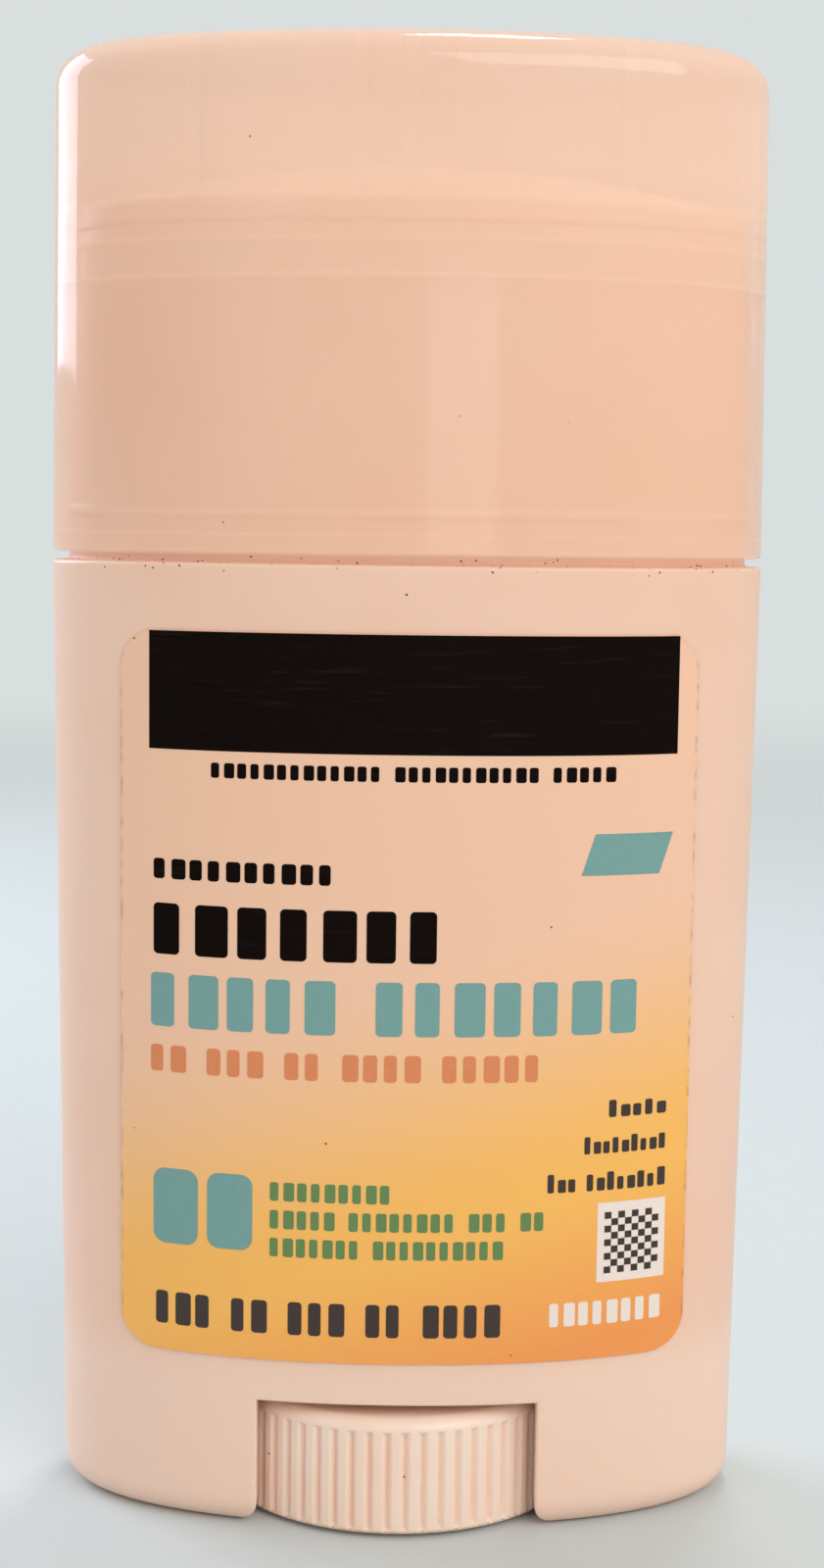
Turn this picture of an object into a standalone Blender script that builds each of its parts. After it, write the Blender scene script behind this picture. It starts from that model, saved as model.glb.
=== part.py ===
"""Oval twist-up sunscreen stick: pull-off cap, barrel with thumbwheel, screw, elevator and product.

Metres, +Z up. The origin is the middle of the underside, and the front label faces -Y.
The thumbwheel and its screw turn about the Z axis, which runs through the origin.
"""
import math

import bmesh
import bpy
from mathutils import Matrix, Vector

# Oval outline shared by the cap and the barrel, at the shoulder where they meet
SHOULDER_WIDTH = 0.0540
SHOULDER_DEPTH = 0.0274
OVAL_POWER = 2.11
OVAL_SIDES = 64
BARREL_DRAFT = math.radians(0.70)
CAP_DRAFT = math.radians(0.49)

# Clearances, how far a cut passes the face that it opens, and what counts as one point
FIT_GAP = 0.0003
LABEL_GAP = 0.00006
OVERRUN = 0.0010
WELD = 0.00001

# Barrel
SHOULDER_HEIGHT = 0.0719
SHOULDER_EASE = 0.0003
NECK_HEIGHT = 0.0261
LAND_HEIGHT = 0.0057
LAND_STEP = 0.00035
RIM_WALL = 0.00115
RIM_EASE = 0.00025
BEAD_RISE = 0.0037
BEAD_HEIGHT = 0.0010
BEAD_DEPTH = 0.00018
BEAD_FRONT_SHARE = 0.66
BEAD_END_SHARE = 0.86
FOOT_RADIUS = 0.00235
FOOT_THICKNESS = 0.0018
FOOT_STEP = 0.0004
WINDOW_HEIGHT = 0.0099
WINDOW_CORNER = 0.0016
FLOOR_THICKNESS = 0.0018
WELL_GAP = 0.0006
WELL_WALL = 0.0015
WELL_COVER = 0.0039

# Cap
CAP_LIFT = 0.0006
CAP_HEIGHT = 0.0383
CAP_WALL = 0.00095
CAP_ROOF = 0.0011
CAP_RADIUS = 0.0040
CAP_CROWN = 0.0012
CAP_EASE = 0.0003
CAP_LEAD_IN = 0.0014
CAP_LEAD_DEPTH = 0.0002
CAP_RIB_THICKNESS = 0.0008
CAP_RIB_REACH = 0.0022
CAP_RIB_SHARES = (-0.58, -0.137, 0.0, 0.137, 0.58)

# Thumbwheel, which stands as far forward as the shoulder above it
WHEEL_RIBS = 64
WHEEL_GROOVE = 0.00042
WHEEL_LAND_SHARE = 0.44
WHEEL_FOOT_GAP = 0.0004
WHEEL_TOP_GAP = 0.0005
WHEEL_BEVEL = 0.0011
WHEEL_RUN_OUT = 0.0005
WHEEL_RIM = 0.0017
WHEEL_WEB = 0.0014
WHEEL_HUB_WALL = 0.0014
WHEEL_SPOKES = 6
WHEEL_SPOKE_WIDTH = 0.0010

# Screw spindle
LEAD = 0.0045
SPINDLE_DROP = 0.0205
SPINDLE_TIP = 0.0009
CORE_RADIUS = 0.0026
THREAD_RADIUS = 0.0040
THREAD_ROOT_WIDTH = 0.0016
THREAD_CREST_WIDTH = 0.0009
THREAD_SIDES = 16
FLANGE_REACH = 0.0023
FLANGE_THICKNESS = 0.0013
JOURNAL_WALL = 0.0004
SHANK_WIDTH = 0.0050
SHANK_LENGTH = 0.0064

# Elevator, and how far the stick can be wound down from where it stands
PRODUCT_LENGTH = 0.0480
WIND_DOWN = 0.0178
PLATE_THICKNESS = 0.0012
SKIRT_HEIGHT = 0.0062
SKIRT_WALL = 0.0010
WIPER_LIP = 0.0003
WIPER_HEIGHT = 0.0010
HUB_WALL = 0.0012
LUG_TURNS = 0.8
LUG_LIFT = 0.0010
POST_RADIUS = 0.0011
POST_HEIGHT = 0.0070
POST_HEAD_RADIUS = 0.0017
POST_HEAD_HEIGHT = 0.0016
POST_SIDES = 12
POST_PLACE_SHARES = ((-0.70, 0.0), (-0.38, 0.0), (0.38, 0.0), (0.70, 0.0))

# Product
PRODUCT_RISE = 0.0006
PRODUCT_RADIUS = 0.0014
PRODUCT_CROWN = 0.0029

# Labels
LABEL_WIDTH = 0.0424
LABEL_BASE = 0.0132
LABEL_DROP = 0.0049
LABEL_CORNER = 0.0027
LABEL_SHIFT = 0.00035
LABEL_THICKNESS = 0.00010

# Mesh counts
FILLET_STEPS = 4
CROWN_SHARES = (0.9, 0.74, 0.52, 0.26)
ROUND_SIDES = 48

# Places worked out from the sizes above
OVAL_EXCESS = (SHOULDER_WIDTH - SHOULDER_DEPTH) / 2
CAP_BASE = SHOULDER_HEIGHT + CAP_LIFT
CAP_TOP = CAP_BASE + CAP_HEIGHT
RIM_HEIGHT = SHOULDER_HEIGHT + NECK_HEIGHT
LAND_BASE = RIM_HEIGHT - LAND_HEIGHT
FLOOR_TOP = WINDOW_HEIGHT + FLOOR_THICKNESS
PLATE_TOP = RIM_HEIGHT + PRODUCT_RISE - PRODUCT_LENGTH
PLATE_UNDERSIDE = PLATE_TOP - PLATE_THICKNESS
HUB_BORE = THREAD_RADIUS + FIT_GAP
JOURNAL_RADIUS = SHANK_WIDTH / math.sqrt(2) + JOURNAL_WALL
FLANGE_UNDERSIDE = FLOOR_TOP + FIT_GAP
FLANGE_TOP = FLANGE_UNDERSIDE + FLANGE_THICKNESS
SPINDLE_TOP = RIM_HEIGHT - SPINDLE_DROP
HUB_BASE = FLANGE_TOP + FIT_GAP + WIND_DOWN
PRODUCT_BORE_TOP = SPINDLE_TOP + FIT_GAP + WIND_DOWN
WHEEL_TOP = WINDOW_HEIGHT - WHEEL_TOP_GAP
WHEEL_RADIUS = SHOULDER_DEPTH / 2
WELL_RADIUS = WHEEL_RADIUS + WELL_GAP
WINDOW_EDGE = WELL_RADIUS - WELL_COVER


def barrel_half_width(height):
    """Half width of the barrel's outside, which narrows from the shoulder down."""
    return SHOULDER_WIDTH / 2 - (SHOULDER_HEIGHT - height) * math.tan(BARREL_DRAFT)


def cap_half_width(height):
    """Half width of the cap's outside, which narrows from its mouth up."""
    return SHOULDER_WIDTH / 2 - (height - CAP_BASE) * math.tan(CAP_DRAFT)


def neck_half_width(height):
    """Half width of the neck, one fit gap inside the cap's wall."""
    return cap_half_width(height) - CAP_WALL - FIT_GAP


CHAMBER = neck_half_width(RIM_HEIGHT) - LAND_STEP - RIM_WALL


def ring(half_width, height, share=1.0, swell=0.0):
    """One oval ring: half width, half depth, height, and how far its snap bead stands out."""
    return half_width * share, (half_width - OVAL_EXCESS) * share, height, swell


def oval_depth_at(x, half_width):
    """Half depth of the oval of this half width, at a distance x from its middle."""
    reach = min(abs(x) / half_width, 1.0)
    return (half_width - OVAL_EXCESS) * (1 - reach ** OVAL_POWER) ** (1 / OVAL_POWER)


def oval_place(unit, half_width, half_depth, height, swell):
    """Move a point of the unit circle to the oval, out by the swell where a snap bead runs."""
    across = math.copysign(abs(unit.x) ** (2 / OVAL_POWER), unit.x)
    along = math.copysign(abs(unit.y) ** (2 / OVAL_POWER), unit.y)
    if not BEAD_FRONT_SHARE < abs(across) < BEAD_END_SHARE:
        half_width += swell
        half_depth += swell
    return Vector((half_width * across, half_depth * along, height))


def fillet(half_width, height, radius, start, end):
    """Rings round an edge, between two angles in degrees; 0 is where it meets the upright wall."""
    rings = []
    for step in range(FILLET_STEPS + 1):
        angle = math.radians(start + (end - start) * step / FILLET_STEPS)
        inset = radius * (1 - math.cos(angle))
        rings.append(ring(half_width - inset, height + radius * math.sin(angle)))
    return rings


def crown(half_width, height, rise, shares):
    """Rings over a domed top of the given rise, by their shares of the way out to its edge."""
    return [ring(half_width, height + rise * (1 - share * share), share) for share in shares]


def add_object(name, mesh, group):
    """Link a mesh to one of the collections as a named object."""
    item = bpy.data.objects.new(name, mesh)
    group.objects.link(item)
    return item


def finish_form(name, form, group):
    """Close a form's normals outwards and make it an object."""
    bmesh.ops.recalc_face_normals(form, faces=form.faces[:])
    mesh = bpy.data.meshes.new(name)
    form.to_mesh(mesh)
    form.free()
    return add_object(name, mesh, group)


def ring_stack(name, group, rings, sides, place):
    """Closed loft through a stack of rings, each a circle moved to its place, with flat ends."""
    form = bmesh.new()
    loops = []
    for values in rings:
        points = bmesh.ops.create_circle(form, segments=sides, radius=1.0)["verts"]
        for index, point in enumerate(points):
            point.co = place(point.co, index, *values)
        loops.append(points)
    for edge in form.edges[:]:
        form.edges.remove(edge)
    for lower, upper in zip(loops, loops[1:]):
        for index, point in enumerate(lower):
            form.faces.new((lower[index - 1], point, upper[index], upper[index - 1]))
    for end in (loops[0], loops[-1]):
        form.faces.new(end)
    return finish_form(name, form, group)


def oval_stack(name, group, rings):
    """Closed body through oval rings."""
    def place(unit, index, *values):
        return oval_place(unit, *values)
    return ring_stack(name, group, rings, OVAL_SIDES, place)


def turned(name, group, profile, sides=ROUND_SIDES):
    """Turn a profile of (radius, height) about Z; it runs down the outer side and is closed."""
    form = bmesh.new()
    points = [form.verts.new((radius, 0, height)) for radius, height in profile]
    pairs = list(zip(points, points[1:]))
    if min(radius for radius, height in profile) > 0:
        pairs.append((points[-1], points[0]))
    for first, second in pairs:
        form.edges.new((first, second))
    mesh = bpy.data.meshes.new(name)
    form.to_mesh(mesh)
    form.free()
    item = add_object(name, mesh, group)
    screw = item.modifiers.new("turn", "SCREW")
    screw.steps = sides
    screw.render_steps = sides
    screw.use_merge_vertices = True
    screw.merge_threshold = WELD
    return item


def cylinder(name, group, radius, base, top, sides=ROUND_SIDES, x=0.0, y=0.0):
    """Plain upright cylinder from base to top."""
    form = bmesh.new()
    bmesh.ops.create_cone(form, cap_ends=True, segments=sides, radius1=radius, radius2=radius,
                          depth=top - base, matrix=Matrix.Translation((x, y, (top + base) / 2)))
    return finish_form(name, form, group)


def block(name, group, low, high):
    """Box between two corners."""
    form = bmesh.new()
    size = Vector(high) - Vector(low)
    middle = (Vector(high) + Vector(low)) / 2
    bmesh.ops.create_cube(form, size=1.0, matrix=Matrix.Translation(middle) @ Matrix.Diagonal(size).to_4x4())
    return finish_form(name, form, group)


def helix_ridge(name, group, inner, outer, inner_width, outer_width, base, turns, phase=0.0):
    """Ridge of trapezoid section wound left-handed about Z, rising one lead a turn from base."""
    form = bmesh.new()
    section = ((inner, -inner_width / 2), (outer, -outer_width / 2),
               (outer, outer_width / 2), (inner, inner_width / 2))
    turn = Matrix.Rotation(phase - math.tau * base / LEAD, 3, "Z")
    corners = [form.verts.new(turn @ Vector((radius, 0, base + rise))) for radius, rise in section]
    face = form.faces.new(corners)
    steps = round(turns * THREAD_SIDES)
    angle = math.tau * steps / THREAD_SIDES
    bmesh.ops.spin(form, geom=face.verts[:] + face.edges[:] + [face], cent=(0, 0, 0), axis=(0, 0, -1),
                   dvec=(0, 0, LEAD / THREAD_SIDES), angle=angle, steps=steps)
    return finish_form(name, form, group)


def flat_outline(name, group, points, thickness):
    """Flat outline in the XZ plane, given a thickness along Y and centred on Y = 0."""
    curve = bpy.data.curves.new(name, "CURVE")
    curve.dimensions = "2D"
    curve.fill_mode = "BOTH"
    curve.extrude = thickness / 2
    spline = curve.splines.new("POLY")
    spline.points.add(len(points) - 1)
    for place, (x, z) in zip(spline.points, points):
        place.co = (x, z, 0, 1)
    spline.use_cyclic_u = True
    guide = bpy.data.objects.new(name + "_outline", curve)
    bpy.context.scene.collection.objects.link(guide)
    seen = guide.evaluated_get(bpy.context.evaluated_depsgraph_get())
    mesh = bpy.data.meshes.new_from_object(seen)
    form = bmesh.new()
    form.from_mesh(mesh)
    bpy.data.objects.remove(guide)
    bpy.data.meshes.remove(mesh)
    bmesh.ops.remove_doubles(form, verts=form.verts[:], dist=WELD)
    bmesh.ops.rotate(form, verts=form.verts[:], cent=(0, 0, 0), matrix=Matrix.Rotation(math.pi / 2, 3, "X"))
    return finish_form(name, form, group)


def corner_arc(x, z, radius, start, steps=FILLET_STEPS):
    """Quarter arc of an outline about (x, z), from the start angle in degrees."""
    angles = [math.radians(start + 90 * step / steps) for step in range(steps + 1)]
    return [(x + radius * math.cos(angle), z + radius * math.sin(angle)) for angle in angles]


def combine(target, tool, operation="DIFFERENCE"):
    """Cut, join or intersect an object with another one."""
    boolean = target.modifiers.new(tool.name, "BOOLEAN")
    boolean.object = tool
    boolean.operation = operation
    boolean.solver = "EXACT"
    return target


def paint(item, colour, roughness, alpha=1.0, subsurface=0.0):
    """Give an object its own plastic or wax material."""
    material = bpy.data.materials.new(item.name)
    material.use_nodes = True
    shader = material.node_tree.nodes["Principled BSDF"]
    shader.inputs["Base Color"].default_value = (*colour, 1)
    shader.inputs["Roughness"].default_value = roughness
    shader.inputs["Metallic"].default_value = 0
    shader.inputs["Alpha"].default_value = alpha
    shader.inputs["Subsurface Weight"].default_value = subsurface
    material.diffuse_color = (*colour, alpha)
    item.data.materials.append(material)


def smooth(item, angle=30):
    """Shade an object's round faces smooth and keep its edges."""
    item.data.shade_smooth()
    item.data.set_sharp_from_angle(angle=math.radians(angle))


def make_barrel(parts, cutters):
    """Barrel: closed feet, thumbwheel windows, floor, product chamber and the neck for the cap."""
    foot = barrel_half_width(FOOT_RADIUS)
    neck_base = neck_half_width(SHOULDER_HEIGHT)
    bead = SHOULDER_HEIGHT + BEAD_RISE
    rim = neck_half_width(RIM_HEIGHT) - LAND_STEP
    rings = fillet(foot, FOOT_RADIUS, FOOT_RADIUS, -90, 0)
    rings += [
        ring(barrel_half_width(SHOULDER_HEIGHT - SHOULDER_EASE), SHOULDER_HEIGHT - SHOULDER_EASE),
        ring(barrel_half_width(SHOULDER_HEIGHT) - SHOULDER_EASE, SHOULDER_HEIGHT),
        ring(neck_base, SHOULDER_HEIGHT),
        ring(neck_half_width(bead - BEAD_HEIGHT / 2), bead - BEAD_HEIGHT / 2),
        ring(neck_half_width(bead), bead, swell=BEAD_DEPTH),
        ring(neck_half_width(bead + BEAD_HEIGHT / 2), bead + BEAD_HEIGHT / 2),
        ring(neck_half_width(LAND_BASE), LAND_BASE),
        ring(neck_half_width(LAND_BASE) - LAND_STEP, LAND_BASE),
        ring(rim, RIM_HEIGHT - RIM_EASE),
        ring(rim - RIM_EASE, RIM_HEIGHT),
        ring(CHAMBER + RIM_EASE, RIM_HEIGHT),
        ring(CHAMBER, RIM_HEIGHT - RIM_EASE),
        ring(CHAMBER, FLOOR_TOP),
    ]
    barrel = oval_stack("barrel", parts, rings)

    well = cylinder("wheel_well_cut", cutters, WELL_RADIUS, -OVERRUN, WINDOW_HEIGHT)
    flare_end = -WINDOW_EDGE - WINDOW_CORNER
    flare = corner_arc(flare_end, WINDOW_CORNER, WINDOW_CORNER, -90)
    left = [(-WINDOW_EDGE, WINDOW_HEIGHT)] + flare[::-1] + [(flare_end, -OVERRUN)]
    right = [(-x, z) for x, z in reversed(left)]
    window = flat_outline("window_cut", cutters, left + right, SHOULDER_DEPTH + 2 * OVERRUN)
    pocket_width = CHAMBER - FOOT_STEP
    pocket = oval_stack("foot_pocket_cut", cutters, [
        ring(pocket_width, FOOT_THICKNESS), ring(pocket_width, FLOOR_TOP + OVERRUN)])
    keep = cylinder("well_wall_keep", cutters, WELL_RADIUS + WELL_WALL, 0, FLOOR_TOP + 2 * OVERRUN)
    bore = cylinder("journal_bore_cut", cutters, JOURNAL_RADIUS + FIT_GAP,
                    WINDOW_HEIGHT - OVERRUN, FLOOR_TOP + OVERRUN)
    combine(pocket, keep)
    for tool in (well, window, pocket, bore):
        combine(barrel, tool)
    smooth(barrel)
    paint(barrel, (0.83, 0.80, 0.77), 0.34, subsurface=0.1)
    return barrel


def cap_void_rings():
    """Inside of the cap from below its mouth up to the middle of its roof."""
    inner = CAP_RADIUS - CAP_WALL
    mouth = cap_half_width(CAP_BASE) - CAP_WALL + CAP_LEAD_DEPTH
    lead_top = CAP_BASE + CAP_LEAD_IN
    bead = SHOULDER_HEIGHT + BEAD_RISE
    centre = CAP_TOP - CAP_CROWN - CAP_RADIUS
    wall_top = cap_half_width(centre) - CAP_WALL
    rings = [ring(mouth, CAP_BASE - OVERRUN), ring(mouth, lead_top - CAP_LEAD_DEPTH)]
    for height, groove in ((lead_top, 0.0), (bead - BEAD_HEIGHT / 2, 0.0), (bead, BEAD_DEPTH),
                           (bead + BEAD_HEIGHT / 2, 0.0)):
        rings.append(ring(cap_half_width(height) - CAP_WALL + groove, height))
    rings += fillet(wall_top, centre, inner, 0, 90)
    roof = centre + inner + CAP_WALL - CAP_ROOF
    rings[-1] = ring(wall_top - inner, roof)
    return rings + crown(wall_top - inner, roof, CAP_CROWN, CROWN_SHARES)


def make_cap(parts, cutters):
    """Cap: thin drafted shell with stop ribs inside that come down onto the neck's rim."""
    centre = CAP_TOP - CAP_CROWN - CAP_RADIUS
    shell = cap_half_width(centre)
    rings = [ring(cap_half_width(CAP_BASE) - CAP_EASE, CAP_BASE),
             ring(cap_half_width(CAP_BASE + CAP_EASE), CAP_BASE + CAP_EASE)]
    rings += fillet(shell, centre, CAP_RADIUS, 0, 90)
    rings += crown(shell - CAP_RADIUS, centre + CAP_RADIUS, CAP_CROWN, CROWN_SHARES)
    cap = oval_stack("cap", parts, rings)

    void = oval_stack("cap_inside_cut", cutters, cap_void_rings())
    rib_base = RIM_HEIGHT + FIT_GAP
    reach = cap_half_width(rib_base) - CAP_RIB_REACH
    for number, share in enumerate(CAP_RIB_SHARES):
        middle = share * reach
        inner = oval_depth_at(middle, reach)
        for side in (-1, 1):
            near, far = sorted((side * inner, side * SHOULDER_DEPTH))
            rib = block(f"cap_rib_keep_{number}_{'front' if side < 0 else 'back'}", cutters,
                        (middle - CAP_RIB_THICKNESS / 2, near, rib_base),
                        (middle + CAP_RIB_THICKNESS / 2, far, CAP_TOP))
            combine(void, rib)
    combine(cap, void)
    smooth(cap)
    paint(cap, (0.86, 0.84, 0.82), 0.30, alpha=0.55, subsurface=0.1)
    return cap


def wheel_place(unit, index, radius, groove, height):
    """Point of the ribbed wheel: two on each land, then one at the bottom of its groove."""
    pitch = math.tau / WHEEL_RIBS
    rib, corner = divmod(index, 3)
    offsets = (0.0, WHEEL_LAND_SHARE, (1 + WHEEL_LAND_SHARE) / 2)
    angle = (rib + offsets[corner]) * pitch
    reach = radius - groove if corner == 2 else radius
    return Vector((reach * math.cos(angle), reach * math.sin(angle), height))


def make_thumbwheel(parts, cutters):
    """Thumbwheel: ribbed rim with a bevelled top, a web, a hub with a square socket, and spokes."""
    base = WHEEL_FOOT_GAP
    bevel_base = WHEEL_TOP - WHEEL_BEVEL
    rib_top = bevel_base - WHEEL_RUN_OUT
    ease = WHEEL_GROOVE / 2
    wheel = ring_stack("thumbwheel", parts, [
        (WHEEL_RADIUS - ease, WHEEL_GROOVE - ease, base),
        (WHEEL_RADIUS, WHEEL_GROOVE, base + ease),
        (WHEEL_RADIUS, WHEEL_GROOVE, rib_top),
        (WHEEL_RADIUS, 0.0, bevel_base),
        (WHEEL_RADIUS - WHEEL_BEVEL / 4, 0.0, WHEEL_TOP - WHEEL_BEVEL / 2),
        (WHEEL_RADIUS - WHEEL_BEVEL, 0.0, WHEEL_TOP),
    ], WHEEL_RIBS * 3, wheel_place)

    rim_inner = WHEEL_RADIUS - WHEEL_RIM
    socket = SHANK_WIDTH / 2 + FIT_GAP
    hub_radius = socket * math.sqrt(2) + WHEEL_HUB_WALL
    pocket_top = WHEEL_TOP - WHEEL_WEB
    pocket = turned("wheel_pocket_cut", cutters, [
        (rim_inner, pocket_top), (rim_inner, base - OVERRUN),
        (hub_radius, base - OVERRUN), (hub_radius, pocket_top)])
    for number in range(WHEEL_SPOKES):
        spoke = block(f"wheel_spoke_keep_{number}", cutters,
                      (0, -WHEEL_SPOKE_WIDTH / 2, base + WHEEL_BEVEL),
                      (WHEEL_RADIUS, WHEEL_SPOKE_WIDTH / 2, WHEEL_TOP))
        spoke.rotation_euler.z = math.tau * number / WHEEL_SPOKES
        combine(pocket, spoke)
    square = block("wheel_socket_cut", cutters, (-socket, -socket, base - OVERRUN),
                   (socket, socket, WHEEL_TOP + OVERRUN))
    combine(wheel, pocket)
    combine(wheel, square)
    smooth(wheel)
    paint(wheel, (0.83, 0.79, 0.76), 0.36, subsurface=0.1)
    return wheel


def make_spindle(parts, cutters):
    """Screw spindle: left-hand thread, flange on the floor, journal and square shank for the wheel."""
    shank_top = WINDOW_HEIGHT
    shoulder = SPINDLE_TOP - SPINDLE_TIP
    flange = JOURNAL_RADIUS + FLANGE_REACH
    spindle = turned("screw_spindle", parts, [
        (0, SPINDLE_TOP), (CORE_RADIUS - SPINDLE_TIP, SPINDLE_TOP), (CORE_RADIUS, shoulder),
        (CORE_RADIUS, FLANGE_TOP), (flange, FLANGE_TOP), (flange, FLANGE_UNDERSIDE),
        (JOURNAL_RADIUS, FLANGE_UNDERSIDE), (JOURNAL_RADIUS, shank_top), (0, shank_top)], THREAD_SIDES)
    thread_base = FLANGE_TOP + THREAD_ROOT_WIDTH
    turns = (shoulder - THREAD_ROOT_WIDTH - thread_base) / LEAD
    thread = helix_ridge("spindle_thread", cutters, CORE_RADIUS - FIT_GAP, THREAD_RADIUS,
                         THREAD_ROOT_WIDTH, THREAD_CREST_WIDTH, thread_base, turns)
    half = SHANK_WIDTH / 2
    shank = block("spindle_shank", cutters, (-half, -half, shank_top - SHANK_LENGTH),
                  (half, half, shank_top + FLOOR_THICKNESS / 2))
    combine(spindle, thread, "UNION")
    combine(spindle, shank, "UNION")
    smooth(spindle)
    paint(spindle, (0.85, 0.85, 0.84), 0.38)
    return spindle


def post_places():
    """Where the elevator's posts stand, by shares of the elevator's half width and depth."""
    half_width = CHAMBER - FIT_GAP
    half_depth = half_width - OVAL_EXCESS
    return [(across * half_width, along * half_depth) for across, along in POST_PLACE_SHARES]


def make_elevator(parts, cutters):
    """Elevator: oval plate with a wiper skirt, a threaded hub below and anchor posts above."""
    outer = CHAMBER - FIT_GAP
    waist = outer - WIPER_LIP
    inner = outer - SKIRT_WALL - WIPER_LIP
    skirt_base = PLATE_TOP - SKIRT_HEIGHT
    elevator = oval_stack("elevator", parts, [
        ring(inner, PLATE_UNDERSIDE),
        ring(inner, skirt_base),
        ring(outer, skirt_base),
        ring(outer, skirt_base + WIPER_HEIGHT),
        ring(waist, skirt_base + WIPER_HEIGHT + WIPER_LIP),
        ring(waist, PLATE_TOP - WIPER_HEIGHT - WIPER_LIP),
        ring(outer, PLATE_TOP - WIPER_HEIGHT),
        ring(outer, PLATE_TOP),
    ])
    hub = cylinder("elevator_hub", cutters, HUB_BORE + HUB_WALL, HUB_BASE,
                   PLATE_TOP - PLATE_THICKNESS / 2, THREAD_SIDES)
    lug_base = HUB_BASE + LUG_LIFT + THREAD_ROOT_WIDTH / 2
    lug = helix_ridge("elevator_lug", cutters, CORE_RADIUS + FIT_GAP, HUB_BORE + HUB_WALL / 2,
                      THREAD_CREST_WIDTH, THREAD_ROOT_WIDTH, lug_base, LUG_TURNS, phase=math.pi)
    bore = cylinder("elevator_bore_cut", cutters, HUB_BORE, HUB_BASE - OVERRUN,
                    PLATE_TOP + OVERRUN, THREAD_SIDES)
    combine(elevator, hub, "UNION")
    combine(elevator, bore)
    combine(elevator, lug, "UNION")
    for number, (x, y) in enumerate(post_places()):
        head_base = PLATE_TOP + POST_HEIGHT - POST_HEAD_HEIGHT
        post = turned(f"elevator_post_{number}", cutters, [
            (0, PLATE_TOP + POST_HEIGHT), (POST_RADIUS, PLATE_TOP + POST_HEIGHT),
            (POST_HEAD_RADIUS, head_base + POST_HEAD_HEIGHT / 2), (POST_HEAD_RADIUS, head_base),
            (POST_RADIUS, head_base), (POST_RADIUS, PLATE_TOP - PLATE_THICKNESS / 2),
            (0, PLATE_TOP - PLATE_THICKNESS / 2)], POST_SIDES)
        post.location = (x, y, 0)
        combine(elevator, post, "UNION")
    smooth(elevator)
    paint(elevator, (0.82, 0.81, 0.79), 0.40)
    return elevator


def make_product(parts, cutters):
    """Sunscreen stick: cast on the elevator, domed above the rim, hollow round screw and posts."""
    half_width = CHAMBER - FIT_GAP
    edge = RIM_HEIGHT + PRODUCT_RISE
    base = PLATE_TOP + FIT_GAP
    rings = [ring(half_width, base)]
    rings += fillet(half_width, edge - PRODUCT_RADIUS, PRODUCT_RADIUS, 0, 75)
    flat_edge, flat_depth, shoulder, swell = rings[-1]
    rings += crown(flat_edge, shoulder, PRODUCT_CROWN, CROWN_SHARES)
    product = oval_stack("sunscreen_stick", parts, rings)

    screw_hole = cylinder("product_bore_cut", cutters, HUB_BORE, base - OVERRUN, PRODUCT_BORE_TOP,
                          THREAD_SIDES)
    combine(product, screw_hole)
    for number, (x, y) in enumerate(post_places()):
        recess = cylinder(f"product_post_cut_{number}", cutters, POST_HEAD_RADIUS + FIT_GAP,
                          base - OVERRUN, PLATE_TOP + POST_HEIGHT + FIT_GAP, POST_SIDES, x, y)
        combine(product, recess)
    smooth(product)
    paint(product, (0.86, 0.84, 0.80), 0.55, subsurface=0.2)
    return product


def make_label(name, side, parts, cutters):
    """Paper-thin label that follows the barrel's front or back face."""
    half = LABEL_WIDTH / 2
    top = SHOULDER_HEIGHT - LABEL_DROP
    middle = -side * LABEL_SHIFT
    outline = []
    for x, z, start in ((half, top, 0), (-half, top, 90), (-half, LABEL_BASE, 180), (half, LABEL_BASE, 270)):
        centre_x = x - math.copysign(LABEL_CORNER, x)
        centre_z = z - LABEL_CORNER if z == top else z + LABEL_CORNER
        outline += corner_arc(centre_x + middle, centre_z, LABEL_CORNER, start)
    label = flat_outline(name, parts, outline, SHOULDER_DEPTH)
    label.location.y = side * SHOULDER_DEPTH / 2
    for depth, operation in ((LABEL_GAP + LABEL_THICKNESS, "INTERSECT"), (LABEL_GAP, "DIFFERENCE")):
        low, high = FOOT_RADIUS, SHOULDER_HEIGHT - SHOULDER_EASE
        form = oval_stack(f"{name}_{operation.lower()}", cutters, [
            ring(barrel_half_width(low) + depth, low), ring(barrel_half_width(high) + depth, high)])
        combine(label, form, operation)
    smooth(label)
    paint(label, (0.85, 0.62, 0.30), 0.30)
    return label


def axis_empty(name, height, pieces, group):
    """Parent the pieces that move together to an empty on their joint's axis."""
    empty = bpy.data.objects.new(name, None)
    empty.location.z = height
    empty.empty_display_size = SHOULDER_DEPTH
    group.objects.link(empty)
    for piece in pieces:
        piece.parent = empty
        piece.location.z -= height


def main():
    """Build the stick in a scene without other objects."""
    for item in list(bpy.data.objects):
        bpy.data.objects.remove(item)
    parts = bpy.data.collections.new("sunscreen_stick_container")
    cutters = bpy.data.collections.new("cutters")
    for group in (parts, cutters):
        bpy.context.scene.collection.children.link(group)

    make_barrel(parts, cutters)
    cap = make_cap(parts, cutters)
    wheel = make_thumbwheel(parts, cutters)
    spindle = make_spindle(parts, cutters)
    elevator = make_elevator(parts, cutters)
    product = make_product(parts, cutters)
    make_label("front_label", -1, parts, cutters)
    make_label("back_label", 1, parts, cutters)
    axis_empty("cap_pull_axis", CAP_BASE, [cap], parts)
    axis_empty("wheel_turn_axis", FLOOR_TOP, [wheel, spindle], parts)
    axis_empty("stick_rise_axis", PLATE_TOP, [elevator, product], parts)
    for tool in cutters.objects:
        tool.hide_render = True
        tool.display_type = "WIRE"


main()
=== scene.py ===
import math

import bmesh
import bpy
from mathutils import Matrix, Vector


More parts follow.
